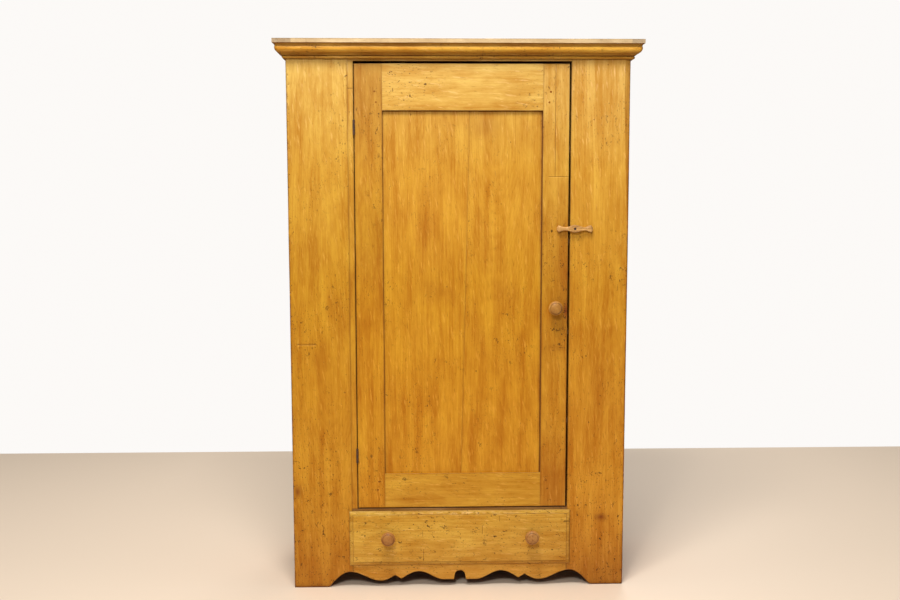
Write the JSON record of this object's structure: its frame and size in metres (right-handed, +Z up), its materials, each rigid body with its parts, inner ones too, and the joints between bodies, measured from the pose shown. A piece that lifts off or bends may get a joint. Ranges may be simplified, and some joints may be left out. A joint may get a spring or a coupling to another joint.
{
  "type": "pantry cupboard",
  "caption": "Free-standing old pine store cupboard: tall panelled door on butt hinges with a knob and a wooden turn button, lipped drawer, shelves, crown moulding and scalloped base.",
  "frame": {"origin": "middle of the whole cupboard's footprint, on the floor", "axes": "+X to the right of the front, +Y towards the back, +Z up"},
  "size_m": [1.27, 0.53, 1.941],
  "materials": {
    "case_pine": "old shellac, satin",
    "door_pine": "old shellac, satin",
    "drawer_pine": "old shellac, satin",
    "inside_pine": "bare, matt",
    "knob_wood": "worn, satin",
    "button_wood": "bare carved wood, matt",
    "dark_iron": "dull, rusty"
  },
  "bodies": {
    "case": {"side_left": "case_pine", "side_right": "case_pine", "stile_left": "case_pine", "stile_right": "case_pine", "hinge_strip": "drawer_pine", "top_rail": "case_pine", "divider_rail": "case_pine", "apron": "case_pine", "case_top": "inside_pine", "cupboard_floor": "inside_pine", "shelf_1": "inside_pine", "shelf_2": "inside_pine", "shelf_3": "inside_pine", "shelf_4": "inside_pine", "shelf_cleats_left": "inside_pine", "shelf_cleats_right": "inside_pine", "back_board_1": "inside_pine", "back_board_2": "inside_pine", "back_board_3": "inside_pine", "back_board_4": "inside_pine", "back_board_5": "inside_pine", "support_rail_front": "inside_pine", "support_rail_back": "inside_pine", "drawer_runner_left": "inside_pine", "drawer_runner_right": "inside_pine", "drawer_guide_left": "inside_pine", "drawer_guide_right": "inside_pine", "crown_front": "case_pine", "crown_left": "case_pine", "crown_right": "case_pine", "cap_front": "case_pine", "cap_left": "case_pine", "cap_right": "case_pine", "back_nails": "dark_iron", "cap_nails": "dark_iron", "hinge_leaf_case_top": "dark_iron", "hinge_leaf_case_low": "dark_iron", "hinge_pins": "dark_iron", "hinge_screws_case": "dark_iron", "turn_button_screw": "dark_iron"},
    "door": {"door_stile_left": "door_pine", "door_stile_right": "door_pine", "door_rail_top": "door_pine", "door_rail_low": "door_pine", "door_panel_left": "door_pine", "door_panel_right": "door_pine", "door_pegs": "door_pine", "door_knob": "knob_wood", "hinge_leaf_door_top": "dark_iron", "hinge_leaf_door_low": "dark_iron", "hinge_screws_door": "dark_iron"},
    "drawer": {"drawer_front": "drawer_pine", "drawer_side_left": "inside_pine", "drawer_side_right": "inside_pine", "drawer_back": "inside_pine", "drawer_bottom": "inside_pine", "drawer_knob_left": "knob_wood", "drawer_knob_right": "knob_wood"},
    "turn_button": {"turn_button": "button_wood"}
  },
  "joints": [
    {"name": "door_hinge", "type": "hinge", "parent": "case", "child": "door", "pos_m": [-0.3635, -0.2195, 1.0655], "axis": [0, 0, -1], "range_deg": [0, 175]},
    {"name": "drawer_slide", "type": "slide", "parent": "case", "child": "drawer", "axis": [0, -1, 0], "range_m": [0, 0.32]},
    {"name": "button_turn", "type": "hinge", "parent": "case", "child": "turn_button", "pos_m": [0.4056, -0.2235, 1.294], "axis": [0, -1, 0], "continuous": true}
  ]
}
